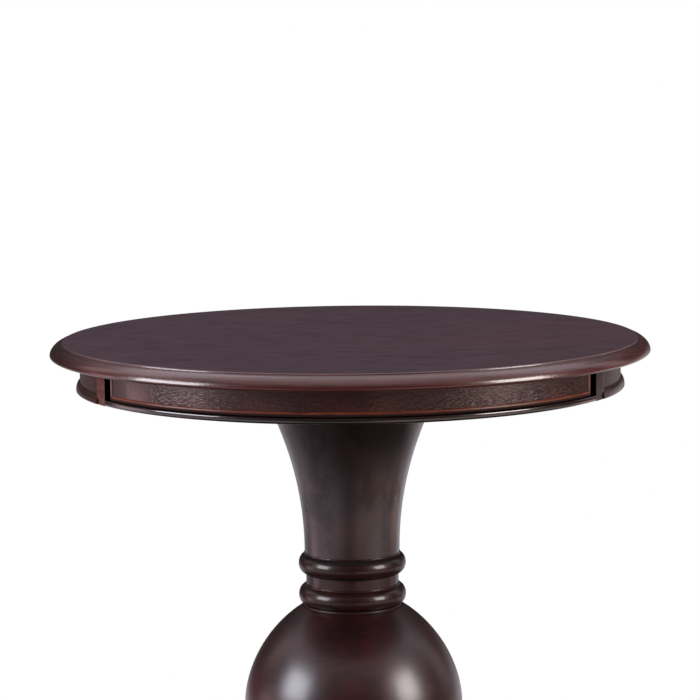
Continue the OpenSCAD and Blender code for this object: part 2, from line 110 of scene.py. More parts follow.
class Graph:
    def __init__(self, tree):
        self.tree = tree

    def add(self, kind, settings=None, inputs=None, output=0):
        # a node with its settings, then the values or links of its sockets
        node = self.tree.nodes.new(kind)
        for name, value in (settings or {}).items():
            setattr(node, name, value)
        for key, value in (inputs or {}).items():
            for part in value if isinstance(value, list) else [value]:
                if isinstance(part, Feed):
                    self.tree.links.new(part.socket, node.inputs[key])
                else:
                    node.inputs[key].default_value = part
        return Feed(self, node.outputs[output]) if len(node.outputs) else node

    def axes(self, place):
        x = self.add("ShaderNodeSeparateXYZ", {}, {0: place})
        return x, x.out("Y"), x.out("Z")

    def join(self, x, y, z):
        return self.add("ShaderNodeCombineXYZ", {}, {0: x, 1: y, 2: z})

    def band(self, value, start, end, least=0.0, most=1.0):
        # least before start, most after end, and a smooth rise between
        return self.add("ShaderNodeMapRange", {"interpolation_type": "SMOOTHSTEP"},
                        {0: value, 1: start, 2: end, 3: least, 4: most})

    def bandFrom(self, value, zero, start, end, least, most):
        # a band whose start and end are measured from zero
        return self.band(value, zero + start, zero + end, least, most)

    def mix(self, factor, first, second):
        # sockets 6 and 7 and output 2 are the colours of a Mix node
        return self.add("ShaderNodeMix", {"data_type": "RGBA"}, {0: factor, 6: first, 7: second}, 2)

    def noise(self, place, stretch, scale, detail, rough, twist=0.0):
        mapped = self.add("ShaderNodeMapping", {}, {"Vector": place, "Scale": stretch})
        return self.add("ShaderNodeTexNoise", {}, {
            "Vector": mapped, "Scale": scale, "Detail": detail, "Roughness": rough, "Distortion": twist})

    def bump(self, height, distance, under=None):
        inputs = {"Height": height, "Distance": distance, "Strength": 1.0}
        if under is not None:
            inputs["Normal"] = under
        return self.add("ShaderNodeBump", {}, inputs)


def material(name, paint):
    made = bpy.data.materials.new(name)
    made.use_nodes = True
    made.node_tree.nodes.clear()
    graph = Graph(made.node_tree)
    place = graph.add("ShaderNodeTexCoord").out("Object")
    graph.add("ShaderNodeOutputMaterial", {}, {"Surface": paint(graph, place)})
    return made


def fromAxis(x, y):
    return (x * x + y * y) ** 0.5


def alongEdge(graph, place):
    # place unrolled round the table's axis: along the edge, up, and outwards; its seam is at the back
    x, y, z = graph.axes(place)
    angle = x.sum("ARCTAN2", x, y * -1)
    return graph.join(angle * high("edge_moulding").x, z, fromAxis(x, y))


# Stained and lacquered wood. Edges are the values of a noise at which it starts and fully counts.
lacquer = {
    "grainStretch": (1, 14, 14), "grainScale": 30, "grainEdges": (0.32, 0.70), "grainRough": 0.06,
    "poreStretch": (1, 16, 16), "poreScale": 150, "poreEdges": (0.56, 0.68), "poreRough": 0.2,
    "poreDepth": 0.00002, "pores": 0.35, "figure": 0.0, "figureEdges": (0.36, 0.64),
    "cloudScale": 9, "cloudEdges": (0.42, 0.75), "cloudRough": 0.10, "cloudy": 0.75,
    "peelScale": 260, "peelDepth": 0.00002, "waveScale": 24, "waveDepth": 0.00012,
    "specular": 0.5, "tint": (1.0, 0.84, 0.8, 1.0), "coat": 0.9, "coatRough": 0.14,
    "glazeAndShadeTone": tone(10, 4, 4), "glazeAndShadeStrength": 0.9, "dulled": 0.35, "polish": 0.9, "smoothed": 0.25}


def stainedWood(name, deep, pale, warm, roughness, coords=None, edges=None, glazeAndShade=None, gloss=None,
                **changes):
    look = {**lacquer, **changes}

    def paint(graph, place):
        grained = coords(graph, place) if coords else place
        streaks = graph.noise(grained, look["grainStretch"], look["grainScale"], 5, 0.62, 0.25)
        cloud = graph.noise(place, even, look["cloudScale"], 3, 0.55)
        pores = graph.noise(grained, look["poreStretch"], look["poreScale"], 2, 0.5)
        pit = graph.band(pores, *look["poreEdges"]) * look["pores"]
        lined = graph.band(streaks, *look["grainEdges"])
        if look["figure"]:
            figure = graph.noise(grained, look["figureStretch"], look["figureScale"], 3, 0.6, 0.4)
            lined = (lined * (1 - look["figure"])
                     + graph.band(figure, *look["figureEdges"]) * look["figure"])
        colour = graph.mix(lined, deep, pale)
        colour = graph.mix(graph.band(cloud, *look["cloudEdges"]) * look["cloudy"], colour, warm)
        colour = graph.mix(pit, colour, deep)
        rough = (roughness + (cloud - 0.5) * look["cloudRough"] + pit * look["poreRough"]
                 + (streaks - 0.5) * look["grainRough"])
        coat = look["coat"]
        # the edge mask lays a tone along a band: wear, with a painted highlight on the top's arris and
        # painted shade on the moulding's lip
        if edges:
            colour = graph.mix(edges(graph, place), colour, look["rubbed"])
        # the glaze mask darkens the colour towards a dark tone: painted shade on most pieces, real glaze in
        # the neck's patches
        if glazeAndShade:
            dark = glazeAndShade(graph, place)
            colour = graph.mix(dark * look["glazeAndShadeStrength"], colour, look["glazeAndShadeTone"])
            rough = rough + dark * look["dulled"]
            coat = (1 - dark) * coat
        if gloss:
            shine = gloss(graph, place)
            coat = coat + shine * look["polish"]
            rough = rough - shine * look["smoothed"]
        peel = graph.noise(place, even, look["peelScale"], 2, 0.5)
        wave = graph.noise(place, even, look["waveScale"], 1, 0.4)
        normal = graph.bump(wave, look["waveDepth"])
        normal = graph.bump(peel, look["peelDepth"], normal)
        normal = graph.bump(1 - pit, look["poreDepth"], normal)
        return graph.add("ShaderNodeBsdfPrincipled", {}, {
            "Base Color": colour, "Roughness": rough, "Normal": normal,
            "Specular IOR Level": look["specular"], "Specular Tint": look["tint"],
            "Coat Weight": coat, "Coat Roughness": look["coatRough"], "Coat Normal": normal})

    return material(name, paint)


# Turned and bent pieces: an outline of (radius, height) swept round the table's axis
def pointTree(name, given):
    # starts a tree with a mesh, named inputs and a finish going in, and a mesh coming out
    tree = bpy.data.node_groups.new(name, "GeometryNodeTree")
    for socket, kind in (("Geometry", "Geometry"), *given, ("Finish", "Material")):
        tree.interface.new_socket(socket, in_out="INPUT", socket_type="NodeSocket" + kind)
    tree.interface.new_socket("Geometry", in_out="OUTPUT", socket_type="NodeSocketGeometry")
    graph = Graph(tree)
    return tree, graph, graph.add("NodeGroupInput")


def endTree(graph, given, geometry):
    whole = graph.add("GeometryNodeRealizeInstances", {}, {"Geometry": geometry})
    done = graph.add("GeometryNodeSetMaterial", {}, {"Geometry": whole, "Material": given.out("Finish")})
    graph.add("NodeGroupOutput", {}, {"Geometry": done})


def turningTree():
    tree, graph, given = pointTree("turnOutline", [
        ("Steps", "Int"), ("From X", "Float"), ("To X", "Float"), ("Round The Back", "Bool")])
    outline = given.out("Geometry")
    count = graph.add("GeometryNodeAttributeDomainSize", {"component": "MESH"}, {
        "Geometry": outline}).out("Point Count")
    grid = graph.add("GeometryNodeMeshGrid", {}, {
        "Vertices X": given.out("Steps") + 1, "Vertices Y": count})
    index = graph.add("GeometryNodeInputIndex")
    row = index.sum("MODULO", index, count)
    column = index.sum("FLOOR", index / count)
    place = graph.add("GeometryNodeInputPosition")
    point = graph.add("GeometryNodeSampleIndex", {"data_type": "FLOAT_VECTOR", "domain": "POINT"},
                      {"Geometry": outline, "Value": place, "Index": row})
    radius, _, height = graph.axes(point)
    start = radius.sum("ARCSINE", given.out("From X") / radius) - pi / 2
    reach = radius.sum("ARCSINE", given.out("To X") / radius)
    back = given.out("Round The Back")
    end = (reach - pi / 2) * (1 - back) + (1.5 * pi - reach) * back
    angle = start + (end - start) * (column / given.out("Steps"))
    turned = graph.join(radius * angle.sum("COSINE", angle), radius * angle.sum("SINE", angle), height)
    moved = graph.add("GeometryNodeSetPosition", {}, {"Geometry": grid, "Position": turned})
    endTree(graph, given, graph.add("GeometryNodeMergeByDistance", {}, {
        "Geometry": moved, "Distance": weld}))
    return tree


def addPiece(name, mesh, finish):
    # closes the ends, turns the faces outwards and shades the round stretches smooth
    shape = bmesh.new()
    shape.from_mesh(mesh)
    bmesh.ops.remove_doubles(shape, verts=shape.verts, dist=weld)
    bmesh.ops.dissolve_degenerate(shape, dist=weld / 2, edges=shape.edges)
    rims = [e for e in shape.edges if e.is_boundary]
    if rims:
        caps = bmesh.ops.holes_fill(shape, edges=rims)["faces"]
        bmesh.ops.triangulate(shape, faces=caps)
    bmesh.ops.recalc_face_normals(shape, faces=shape.faces)
    shape.to_mesh(mesh)
    shape.free()
    mesh.shade_smooth()
    mesh.set_sharp_from_angle(angle=radians(sharp))
    mesh.materials.clear()
    mesh.materials.append(finish)
    mesh.name = name
    piece = bpy.data.objects.new(name, mesh)
    scene.collection.objects.link(piece)
    return piece


def plainMesh(carrier):
    # the mesh that an object has after its modifiers
    bpy.context.view_layer.update()
    depsgraph = bpy.context.evaluated_depsgraph_get()
    return bpy.data.meshes.new_from_object(carrier.evaluated_get(depsgraph), depsgraph=depsgraph)


def nodeResult(name, mesh, tree, values):
    # runs a node tree on a mesh and returns the result as a plain mesh object
    carrier = bpy.data.objects.new(name + "Carrier", mesh)
    scene.collection.objects.link(carrier)
    modifier = carrier.modifiers.new("nodes", "NODES")
    modifier.node_group = tree
    for item in tree.interface.items_tree:
        if item.item_type == "SOCKET" and item.in_out == "INPUT" and item.name in values:
            modifier[item.identifier] = values[item.name]
    plain = plainMesh(carrier)
    carrier.modifiers.remove(modifier)
    bpy.data.objects.remove(carrier)
    return addPiece(name, plain, values["Finish"])


turnOutline = turningTree()


def turned(name, outline, finish, steps, fromX=0.0, toX=0.0, back=True):
    mesh = bpy.data.meshes.new(name + "Outline")
    ring = list(outline) + [outline[0]]
    mesh.from_pydata([(r, 0, z) for r, z in ring], [(i, i + 1) for i in range(len(ring) - 1)], [])
    return nodeResult(name, mesh, turnOutline, {
        "Steps": steps, "From X": fromX, "To X": toX, "Round The Back": back, "Finish": finish})


def settle(piece, body, slot, *replaced):
    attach(piece, body)
    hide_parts(*replaced)


def arc(r, z, w, h, start, end, steps, power=2.0):
    # points of a round from angle start to end, w outwards and h upwards about (r, z)
    points = []
    for i in range(steps + 1):
        a = radians(start + (end - start) * i / steps)
        c, s = cos(a), sin(a)
        points.append((r + w * abs(c) ** (2 / power) * (1 if c > 0 else -1 if c < 0 else 0),
                       z + h * abs(s) ** (2 / power) * (1 if s > 0 else -1 if s < 0 else 0)))
    return points


def easedFoot(r, z, ease, steps):
    # the lower outer corner (r, z) of an outline, rounded
    return arc(r - ease, z + ease, ease, ease, -90, 0, steps)


def easedHead(r, z, ease, steps):
    # the upper outer corner (r, z), rounded
    return arc(r - ease, z - ease, ease, ease, 0, 90, steps)


# Round top: a veneered flat with a groove for the tongue of its edge moulding. A band of wear, shade
# or glaze, here and below, is its start, its end, and the strengths before and after them.
top = {"ease": 0.001, "easeSteps": 6, "grooveDepth": 0.0062, "grooveHeight": 0.005, "segments": 480,
       "innerRings": (0.75, 0.5, 0.25, 0), "arris": (-0.0004, 0.0004, 0.0, 1.0), "wearAndLightScale": 14,
       "wearAndLightPatches": (0.3, 0.6, 0.35, 0.9)}
topZ = high("top_panel").z
underZ = low("top_panel").z
flatR = high("top_panel").x


def rimOfTop(graph, place):
    # the arris round the flat
    x, y, _ = graph.axes(place)
    return graph.bandFrom(fromAxis(x, y), flatR - top["ease"], *top["arris"])


def rimWearAndHighlight(graph, place):
    # it is painted lighter, in patches: wear, and a painted highlight along the arris
    patchy = graph.noise(place, even, top["wearAndLightScale"], 3, 0.6)
    return rimOfTop(graph, place) * graph.band(patchy, *top["wearAndLightPatches"])


# the lighter arris tone given here stands for wear and a painted highlight
topLacquer = stainedWood("topLacquer", tone(29, 16, 21), tone(75, 52, 63), tone(70, 39, 41), 0.52,
                         edges=rimWearAndHighlight, rubbed=tone(92, 64, 66), gloss=rimOfTop, specular=0.3, coat=0,
                         cloudScale=4, cloudy=0.4, grainStretch=(1, 10, 10), grainScale=34, figure=0.35,
                         figureStretch=(1, 5, 5), figureScale=26, peelDepth=0.00001, waveDepth=0.00003,
                         poreDepth=0.00001, coatRough=0.15)


def topPanel():
    middle = (topZ + underZ) / 2
    half = top["grooveHeight"] / 2
    inner = flatR - top["grooveDepth"]
    outline = [(0, underZ), (flatR, underZ), (flatR, middle - half), (inner, middle - half),
               (inner, middle + half), (flatR, middle + half)]
    outline += easedHead(flatR, topZ, top["ease"], top["easeSteps"])
    outline += [(flatR * share, topZ) for share in top["innerRings"]]
    settle(turned("topPanel", outline, topLacquer, top["segments"]), "table", "top_veneer", "top_panel")


# Edge moulding: a lip below, a broad round, and a small step down from the flat
moulding = {"quirk": 0.0013, "lip": 0.0033, "lipIn": 0.0075, "lipSteps": 14, "power": 1.75, "steps": 26,
            "tongueDepth": 0.006, "tongueHeight": 0.005, "segments": 540, "wearAndLightScale": 22,
            "wearAndLightPatches": (0.30, 0.62, 0.45, 0.95), "wornAndShadedLip": (0.0006, 0.0040, 1.0, 0.0),
            "leftPaintedShade": (-0.295, -0.235, 0.85, 0.0)}
lipZ = underZ + moulding["lip"]


def mouldingWearAndShade(graph, place):
    # along the lip the stain is painted a deeper red, partly for wear and partly as painted shade
    patchy = graph.noise(place, even, moulding["wearAndLightScale"], 3, 0.6)
    lip = graph.bandFrom(graph.axes(place)[2], lipZ, *moulding["wornAndShadedLip"])
    return lip * graph.band(patchy, *moulding["wearAndLightPatches"])


def mouldingPaintedShade(graph, place):
    # painted shade: the moulding is darker at the left end
    return graph.band(graph.axes(place)[0], *moulding["leftPaintedShade"])


# the lip tone here is wear and painted shade, and the glaze mask adds painted shade at the left end
edgeLacquer = stainedWood("edgeLacquer", tone(44, 16, 16), tone(78, 31, 31), tone(76, 30, 26), 0.28,
                          coords=alongEdge, edges=mouldingWearAndShade, rubbed=tone(66, 25, 21),
                          glazeAndShade=mouldingPaintedShade, coat=0.65, coatRough=0.11, dulled=0.05, peelDepth=0.00008)


def edgeMoulding():
    middle = (topZ + underZ) / 2
    half = moulding["tongueHeight"] / 2
    width = high("edge_moulding").x - flatR
    outline = [(flatR, underZ)]
    outline += arc(flatR + width - moulding["lipIn"], lipZ, moulding["lipIn"], moulding["lip"], -90, 0,
                   moulding["lipSteps"])
    outline += arc(flatR, lipZ, width, topZ - moulding["quirk"] - lipZ, 0, 90,
                   moulding["steps"], moulding["power"])[1:]
    outline += [(flatR, middle + half), (flatR - moulding["tongueDepth"], middle + half),
                (flatR - moulding["tongueDepth"], middle - half), (flatR, middle - half)]
    settle(turned("edgeMoulding", outline, edgeLacquer, moulding["segments"]), "table", "dark_wood",
           "edge_moulding")


# Apron: shell, bead, the stiles beside the drawer and the rail under it
caseZ = low("apron_shell").z
apronR = high("apron_shell").x
stileX = low("stile_right").x
shellX = high("stile_right").x
bead = {"turn": 0.0012, "turnSteps": 8, "steps": 16, "segments": 480}
apronLacquer = stainedWood("apronLacquer", tone(28, 14, 14), tone(58, 31, 27), tone(84, 40, 31), 0.30,
                           coords=alongEdge, cloudScale=12, pores=0.5, coat=0.4, coatRough=0.15)
shellLacquer = stainedWood("shellLacquer", tone(28, 15, 14), tone(56, 32, 27), tone(74, 40, 31), 0.42,
                           coords=alongEdge, coat=0.1, coatRough=0.2, specular=0.25)


def apronBead():
    turn = bead["turn"]
    reach = high("apron_bead").x - apronR
    rise = high("apron_bead").z - caseZ - turn
    outline = [(apronR, caseZ)] + easedFoot(apronR + reach, caseZ, turn, bead["turnSteps"])
    outline += arc(apronR, caseZ + turn, reach, rise, 0, 90, bead["steps"])[1:]
    piece = turned("apronBead", outline, apronLacquer, bead["segments"], shellX, shellX)
    settle(piece, "table", "red_wood", "apron_bead")


stile = {"front": 0.2775, "back": 0.259, "ease": 0.0006, "easeSteps": 4, "segments": 12,
         "rightPaintedShade": (-0.05, 0.05, 0.0, 0.7)}


def stilePaintedShade(graph, place):
    # painted shade: the right stile is darker than the left one
    return graph.band(graph.axes(place)[0], *stile["rightPaintedShade"])


# the right stile's lacquer is a darker, duller red than the left stile's, as painted shade
stileLacquer = stainedWood("stileLacquer", tone(40, 24, 22), tone(66, 42, 38), tone(70, 42, 36), 0.30,
                           coords=alongEdge, glazeAndShade=stilePaintedShade, coat=0.5, coatRough=0.15, dulled=0.1)
redLacquer = stainedWood("redLacquer", tone(60, 28, 22), tone(98, 49, 38), tone(94, 44, 32), 0.34,
                         coords=alongEdge, coat=0.25, coatRough=0.2)


def stiles():
    front, back, ease, steps = stile["front"], stile["back"], stile["ease"], stile["easeSteps"]
    base, head = low("stile_right").z, high("stile_right").z
    outline = [(back, base)] + easedFoot(front, base, ease, steps)
    outline += easedHead(front, head, ease, steps) + [(back, head)]
    for name, node, start, end, finish in (("stileLeft", "stile_left", -shellX, -stileX, redLacquer),
                                           ("stileRight", "stile_right", stileX, shellX, stileLacquer)):
        piece = turned(name, outline, finish, stile["segments"], start, end, False)
        settle(piece, "table", "red_wood", node)


# rise is how far the rail's head stands over the CAD rail's
rail = {"front": 0.2782, "back": 0.255, "rise": 0.0008, "ease": 0.0016, "easeSteps": 6, "under": 0.003,
        "underSteps": 10, "segments": 240}
railLacquer = stainedWood("railLacquer", tone(14, 7, 8), tone(26, 13, 13), tone(30, 14, 13), 0.22,
                          coords=alongEdge, pores=0.15, peelDepth=0.000008, coat=1.0, coatRough=0.06)


def drawerRail():
    front, back = rail["front"], rail["back"]
    base, head = low("drawer_rail").z, high("drawer_rail").z + rail["rise"]
    outline = [(back, base)] + easedFoot(front, base, rail["under"], rail["underSteps"])
    outline += easedHead(front, head, rail["ease"], rail["easeSteps"]) + [(back, head)]
    piece = turned("drawerRail", outline, railLacquer, rail["segments"], -stileX, stileX, False)
    settle(piece, "table", "dark_wood", "drawer_rail")


# Drawer front and its beads keep their CAD shapes
drawer = {"shadeFrom": 0.008, "shade": 0.62, "leftPaintedShade": (-0.219, -0.209, 0.9, 0.0),
          "beadPaintedShade": (0.0023, 0.0034, 1.0, 0.0)}


def frontPaintedShade(graph, place):
    # painted shade: darker towards the moulding, for the shadow under its lip, and at the left end
    x, _, z = graph.axes(place)
    above = graph.band(z, low("drawer_front").z + drawer["shadeFrom"], underZ, 0.0, drawer["shade"])
    return above.sum("MAXIMUM", above, graph.band(x, *drawer["leftPaintedShade"]))


def beadPaintedShade(graph, place):
    # painted shade on the lower half of the bead under the front
    return graph.bandFrom(graph.axes(place)[2], low("cock_bead_bottom").z, *drawer["beadPaintedShade"])


frontLacquer = stainedWood("frontLacquer", tone(22, 10, 11), tone(40, 20, 20), tone(64, 30, 26), 0.22,
                           coords=alongEdge, glazeAndShade=frontPaintedShade, cloudScale=14, peelScale=300,
                           peelDepth=0.00017, poreDepth=0.00005, pores=0.5, coat=0.3, coatRough=0.1,
                           specular=0.6, dulled=0.12, tint=(1.0, 0.66, 0.63, 1.0))
beadLacquer = stainedWood("beadLacquer", tone(76, 35, 24), tone(122, 62, 44), tone(112, 54, 35), 0.36,
                          coords=alongEdge, glazeAndShade=beadPaintedShade, coat=0.2, coatRough=0.2, specular=0.2)

topPanel()
edgeMoulding()
apronBead()
stiles()
drawerRail()
note("top and apron dressed")

# Column and base, each piece a closed turning with its bore, socket and tenon
column = {"bore": 0.0055, "socketR": 0.0201, "socketH": 0.0142, "tenonR": 0.020, "tenonH": 0.014,
          "segments": 300, "flarePower": 2.08, "flareSteps": 48, "ringSteps": 24}
turnedGrain = {"grainStretch": (2.5, 2.5, 9), "grainScale": 26, "poreStretch": (12, 12, 1), "pores": 0.06,
               "cloudScale": 15, "peelDepth": 0.000003, "waveDepth": 0.00028, "coat": 0.66,
               "coatRough": 0.29, "tint": (1.0, 0.86, 0.87, 1.0)}
neckZ, plateZ = low("column_neck").z, high("column_neck").z
collarZ, urnZ, footRingZ = low("ring_collar").z, low("urn").z, low("foot_ring").z


def bored(base, head, side, tenon=True, socket=True):
    # outline of a piece from its foot up along side, over its tenon, and down its bore
    c = column
    points = [(c["socketR"], base)] if socket else [(c["bore"], base)]
    points += side
    if tenon:
        points += [(c["tenonR"], head), (c["tenonR"], head + c["tenonH"]), (c["bore"], head + c["tenonH"])]
    else:
        points += [(c["bore"], head)]
    if socket:
        points += [(c["bore"], base + c["socketH"]), (c["socketR"], base + c["socketH"])]
    return points


def turnColumn(name, node, outline, finish):
    settle(turned(name, outline, finish, column["segments"]), "table", "dark_wood", node)


def flare(r0, z0, r1, z1):
    steps = column["flareSteps"]
    return [(r0 + (r1 - r0) * (i / steps) ** column["flarePower"], z0 + (z1 - z0) * i / steps)
            for i in range(steps + 1)]


def halfRound(r, z, w, h):
    return arc(r, z, w, h, -90, 90, column["ringSteps"])


neck = {"footR": 0.0489, "headPaintedShade": (-0.075, -0.018, 0.0, 1.0), "paintedShadeAcross": (-0.03, 0.01, 0.3, 1.0),
        "paintedShadeAtRim": (0.05, 0.066, 1.0, 0.2), "patchGlaze": (0.5, 0.68, 0.0, 0.4), "patchScale": 34,
        "patchStretch": (1, 1, 0.6)}


def neckPaintedShadeAndGlaze(graph, place):
    # painted shade lies at the head of the neck under the table top, more so right of the middle and less at
    # the right rim, and glaze lies in patches below
    x, _, z = graph.axes(place)
    head = graph.bandFrom(z, plateZ, *neck["headPaintedShade"])
    head = head * graph.band(x, *neck["paintedShadeAcross"]) * graph.band(x, *neck["paintedShadeAtRim"])
    patchy = graph.noise(place, neck["patchStretch"], neck["patchScale"], 4, 0.65)
    return (head + graph.band(patchy, *neck["patchGlaze"])).capped()


neckLacquer = stainedWood("neckLacquer", tone(18, 7, 8), tone(36, 15, 15), tone(56, 26, 19), 0.38,
                          glazeAndShade=neckPaintedShadeAndGlaze, specular=0.3,
                          **{**turnedGrain, "cloudScale": 24, "dulled": 0.1, "coat": 1.0})


def columnNeck():
    side = flare(neck["footR"], neckZ, high("column_neck").x, plateZ)
    turnColumn("columnNeck", "column_neck", bored(neckZ, plateZ, side, tenon=False), neckLacquer)


collar = {"waistR": 0.0476, "ringH": 0.020, "fillet": 0.0016, "filletR": 0.0496, "ease": 0.0005,
          "easeSteps": 4, "stepH": 0.0014, "stepR": 0.0487, "darkOverFoot": 0.0006,
          "darkUnderHead": 0.0014, "cornerDark": (0.00077, 0.0022, 1.0, 0.0)}


def ringCorners(graph, place):
    # the colour is darker under the collar and at the foot and head of its upper ring
    z = graph.axes(place)[2]
    head = neckZ - collar["fillet"]
    foot = head - collar["ringH"]
    total = 0
    for height in (collarZ, foot + collar["darkOverFoot"], head - collar["darkUnderHead"]):
        total = total + graph.band(z.sum("ABSOLUTE", z - height), *collar["cornerDark"])
    return total.capped()


ringLacquer = stainedWood("ringLacquer", tone(24, 8, 9), tone(40, 15, 16), tone(44, 16, 16), 0.36,
                          coords=alongEdge, glazeAndShade=ringCorners, pores=0.1, peelDepth=0.000006, coat=0.36,
                          coatRough=0.12, specular=0.3)


def ringCollar():
    waist, ringH, ease = collar["waistR"], collar["ringH"], collar["ease"]
    ringW = high("ring_collar").x - waist
    stepTop = collarZ + ringH + collar["stepH"]
    side = halfRound(waist, collarZ + ringH / 2, ringW, ringH / 2)
    side += [(collar["stepR"], collarZ + ringH)]
    side += easedHead(collar["stepR"], stepTop, ease, collar["easeSteps"])
    side += [(waist, stepTop)] + halfRound(waist, neckZ - collar["fillet"] - ringH / 2, ringW, ringH / 2)
    side += [(collar["filletR"], neckZ - collar["fillet"])]
    side += easedHead(collar["filletR"], neckZ, ease, collar["easeSteps"])
    turnColumn("ringCollar", "ring_collar", bored(collarZ, neckZ, side), ringLacquer)


urn = {"rise": 0.1183, "power": 1.83, "endR": 0.0485, "lipOut": 0.0017, "steps": 72,
       "crownPaintedShade": (-0.05, -0.01, 0.0, 0.5)}


def urnPaintedShade(graph, place):
    # painted shade on the crown of the urn, under the table top
    return graph.bandFrom(graph.axes(place)[2], collarZ, *urn["crownPaintedShade"])


urnLacquer = stainedWood("urnLacquer", tone(30, 7, 8), tone(50, 13, 15), tone(68, 19, 19), 0.38,
                         glazeAndShade=urnPaintedShade, specular=0.3, **{**turnedGrain, "dulled": 0.1, "coat": 0.82})


def urnBall():
    middle = (urnZ + collarZ) / 2
    radius, power = high("urn").x, urn["power"]
    limit = atan((((collarZ - middle) / urn["rise"]) / (urn["endR"] / radius)) ** (power / 2))
    side = []
    for i in range(-urn["steps"] // 2, urn["steps"] // 2 + 1):
        a = limit * 2 * i / urn["steps"]
        side.append((radius * cos(a) ** (2 / power),
                     middle + urn["rise"] * abs(sin(a)) ** (2 / power) * (1 if i > 0 else -1)))
    lipR = urn["endR"] + urn["lipOut"]
    side = [point for point in side if point[0] > lipR or point[1] < middle]
    side += [(lipR, side[-1][1])] + easedHead(lipR, collarZ, collar["ease"], collar["easeSteps"])
    turnColumn("urnBall", "urn", bored(urnZ, collarZ, side), urnLacquer)


# Foot: a ring under the urn, a flared bell and a round plinth
ring = {"innerR": 0.052}
bell = {"topR": 0.052}
espresso = stainedWood("espressoLacquer", tone(22, 6, 7), tone(40, 12, 15), tone(56, 17, 17), 0.38,
                       **turnedGrain)


def footRing():
    side = halfRound(ring["innerR"], (footRingZ + urnZ) / 2, high("foot_ring").x - ring["innerR"],
                     (urnZ - footRingZ) / 2)
    turnColumn("footRing", "foot_ring", bored(footRingZ, urnZ, side), espresso)


def baseBell():
    bellZ = low("base_bell").z
    side = flare(bell["topR"], footRingZ, high("base_bell").x, bellZ)[::-1]
    turnColumn("baseBell", "base_bell", bored(bellZ, footRingZ, side, socket=False), espresso)


plinth = {"ease": 0.003, "easeSteps": 6, "nose": 0.020, "noseSteps": 18, "step": 0.006, "stepOut": 0.008,
          "nutPocketR": 0.016, "nutPocketH": 0.012, "screwPocketR": 0.0047, "pocketSides": 40,
          "pocketOver": 0.001}


def placesOf(name, level=0.00001, reach=0.003):
    # the middles of a node's upright solids, found at their highest points, at its lowest height
    places = []
    crown, base = high(name).z, low(name).z
    for vertex in nodes[name].data.vertices:
        if vertex.co.z > crown - level:
            near = [p for p in places if (p[0].xy - vertex.co.xy).length < reach]
            if near:
                near[0].append(vertex.co)
            else:
                places.append([vertex.co.copy()])
    return [(*(sum((v.xy for v in place), Vector((0, 0))) / len(place)), base) for place in places]


def boredPockets(piece, places, base):
    # cuts the pockets for the bell's screws out of the underside of the plinth
    shape = bmesh.new()
    for x, y, z in places:
        depth = z - base + plinth["pocketOver"]
        bmesh.ops.create_cone(shape, cap_ends=True, segments=plinth["pocketSides"],
                              radius1=plinth["screwPocketR"], radius2=plinth["screwPocketR"], depth=depth,
                              matrix=Matrix.Translation((x, y, z - depth / 2)))
    mesh = bpy.data.meshes.new("pocketCutter")
    shape.to_mesh(mesh)
    shape.free()
    cutter = bpy.data.objects.new("pocketCutter", mesh)
    scene.collection.objects.link(cutter)
    cut = piece.modifiers.new("pockets", "BOOLEAN")
    cut.operation = "DIFFERENCE"
    cut.object = cutter
    done = plainMesh(piece)
    piece.modifiers.remove(cut)
    piece.data = done
    done.set_sharp_from_angle(angle=radians(sharp))
    bpy.data.objects.remove(cutter)


def basePlinth():
    base, head, edge = low("base_plinth").z, high("base_plinth").z, high("base_plinth").x
    stepR, pocketR = high("base_bell").x + plinth["stepOut"], plinth["nutPocketR"]
    stepZ, pocketZ = head - plinth["step"], base + plinth["nutPocketH"]
    side = [(pocketR, base)] + easedFoot(edge, base, plinth["ease"], plinth["easeSteps"])
    side += easedHead(edge, stepZ, plinth["nose"], plinth["noseSteps"])
    side += [(stepR, stepZ), (stepR, head), (column["bore"], head), (column["bore"], pocketZ),
             (pocketR, pocketZ)]
    piece = turned("basePlinth", side, espresso, column["segments"])
    boredPockets(piece, placesOf("bell_screws"), base)
    settle(piece, "table", "dark_wood", "base_plinth")


columnNeck()
ringCollar()
urnBall()
footRing()
baseBell()
basePlinth()
note("column turned")

# Plain wood of the parts that don't show from outside
planed = {"rings": 14, "bendScale": 7, "fibreScale": 160, "roughness": 0.62, "relief": 0.00006,
          "deep": tone(176, 146, 104), "pale": tone(212, 187, 146)}
ply = {"layers": 3, "fibreScale": 70, "deep": tone(172, 137, 93), "pale": tone(214, 184, 138),
       "edge": tone(140, 104, 68), "roughness": 0.55, "relief": 0.00005}


def plainWood(name, stretch, **changes):
    look = {**planed, **changes}

    def paint(graph, place):
        bent = graph.noise(place, stretch, look["bendScale"], 2, 0.5)
        lines = graph.add("ShaderNodeMath", {"operation": "FRACT"}, {0: bent * look["rings"]})
        fibre = graph.noise(place, stretch, look["fibreScale"], 3, 0.6)
        year = graph.band(lines, 0.1, 0.9)
        colour = graph.mix(year * 0.6 + (fibre - 0.5) * 0.7, look["pale"], look["deep"])
        normal = graph.bump(fibre + year * 0.3, look["relief"])
        return graph.add("ShaderNodeBsdfPrincipled", {}, {
            "Base Color": colour, "Roughness": look["roughness"] + (fibre - 0.5) * 0.2, "Normal": normal})

    return material(name, paint)


poplarAcross = plainWood("poplarAcross", (1, 14, 14))
poplarAlong = plainWood("poplarAlong", (14, 1, 14))
poplarUpright = plainWood("poplarUpright", (14, 14, 1), deep=tone(168, 138, 98), pale=tone(206, 180, 139))


